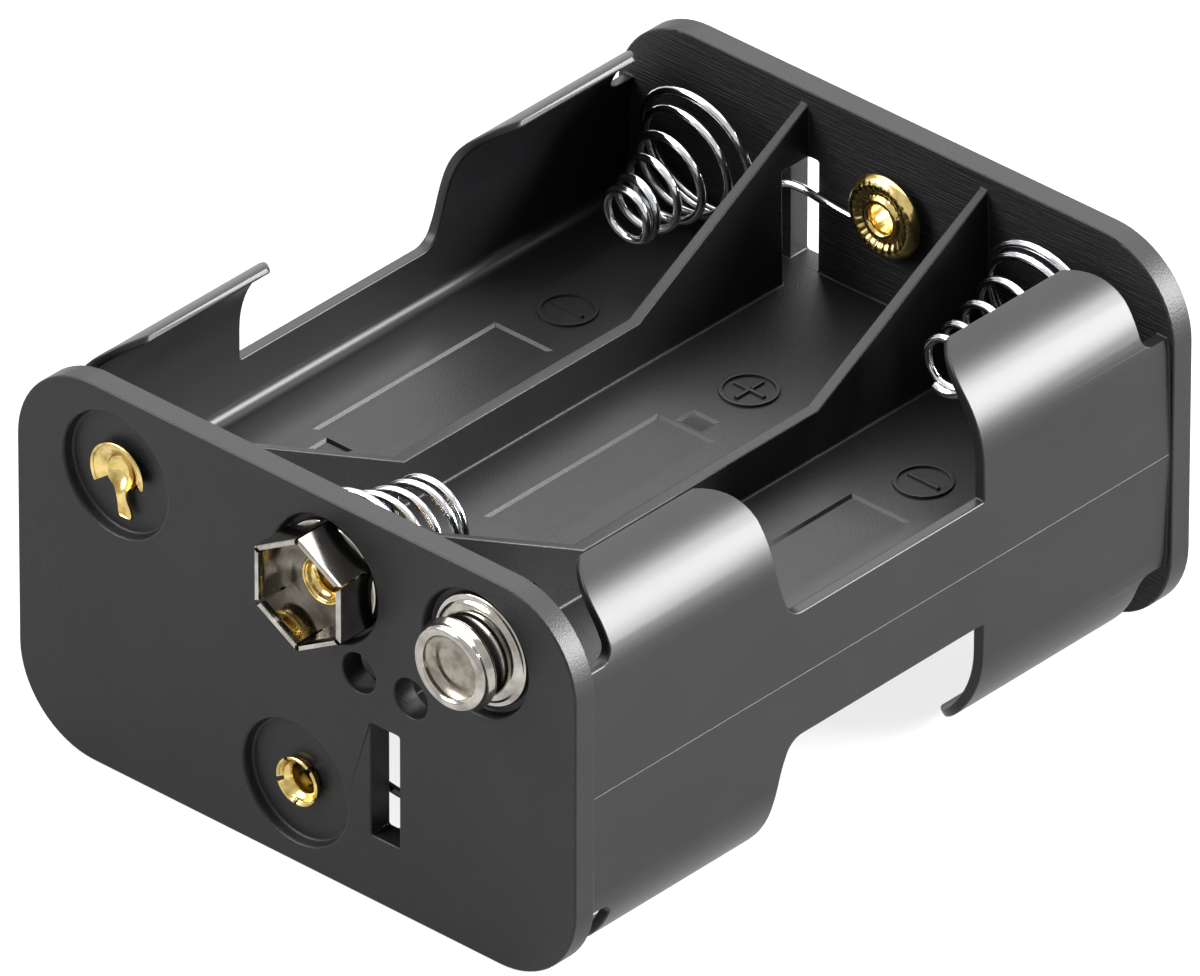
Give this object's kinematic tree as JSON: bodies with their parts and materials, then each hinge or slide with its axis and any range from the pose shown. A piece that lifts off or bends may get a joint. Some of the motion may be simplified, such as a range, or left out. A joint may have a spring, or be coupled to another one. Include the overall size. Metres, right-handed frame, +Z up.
{
  "type": "cylindrical cell holder",
  "caption": "Open back-to-back holder for small cylindrical cells, with curved retaining tabs, conical contact springs and a pair of press-snap terminals on its front plate.",
  "frame": {"origin": "centre of the bounding box in X and Y, on the surface that the holder rests on", "axes": "+X across the bays to the right, seen from the front; +Y from the front plate with its snap terminals towards the rear plate, along the cells; +Z up, towards the three upper bays"},
  "size_m": [0.0474, 0.0606, 0.0282],
  "materials": {
    "abs_black": "injection moulded, semi-matte outside, glossier on the curved tabs",
    "spring_steel": "nickel plated spring wire, drawn",
    "nickel": "nickel plated brass, stamped and rolled",
    "brass": "bare rolled brass"
  },
  "bodies": {
    "holder": {"housing": "abs_black", "eyelet_top_left": "brass", "eyelet_top_middle": "brass", "eyelet_bottom_left": "brass", "eyelet_bottom_middle": "brass", "eyelet_bottom_right": "brass", "snap_stud": "nickel", "stud_rivet": "nickel", "snap_socket": "nickel", "socket_eyelet": "brass"},
    "spring_top_left_body": {"spring_top_left": "spring_steel"},
    "spring_top_middle_body": {"spring_top_middle": "spring_steel"},
    "spring_top_right_body": {"spring_top_right": "spring_steel"},
    "spring_bottom_left_body": {"spring_bottom_left": "spring_steel"},
    "spring_bottom_middle_body": {"spring_bottom_middle": "spring_steel"},
    "spring_bottom_right_body": {"spring_bottom_right": "spring_steel"}
  },
  "joints": [
    {"name": "spring_top_left_press", "type": "slide", "parent": "holder", "child": "spring_top_left_body", "axis": [0, 1, 0], "range_m": [0, 0.00685], "stiffness_N_per_m": 800, "deforming": ["spring_top_left"]},
    {"name": "spring_top_middle_press", "type": "slide", "parent": "holder", "child": "spring_top_middle_body", "axis": [0, -1, 0], "range_m": [0, 0.00845], "stiffness_N_per_m": 800, "deforming": ["spring_top_middle"]},
    {"name": "spring_top_right_press", "type": "slide", "parent": "holder", "child": "spring_top_right_body", "axis": [0, 1, 0], "range_m": [0, 0.00945], "stiffness_N_per_m": 800, "deforming": ["spring_top_right"]},
    {"name": "spring_bottom_left_press", "type": "slide", "parent": "holder", "child": "spring_bottom_left_body", "axis": [0, -1, 0], "range_m": [0, 0.00945], "stiffness_N_per_m": 800, "deforming": ["spring_bottom_left"]},
    {"name": "spring_bottom_middle_press", "type": "slide", "parent": "holder", "child": "spring_bottom_middle_body", "axis": [0, 1, 0], "range_m": [0, 0.00685], "stiffness_N_per_m": 800, "deforming": ["spring_bottom_middle"]},
    {"name": "spring_bottom_right_press", "type": "slide", "parent": "holder", "child": "spring_bottom_right_body", "axis": [0, -1, 0], "range_m": [0, 0.00685], "stiffness_N_per_m": 800, "deforming": ["spring_bottom_right"]}
  ]
}
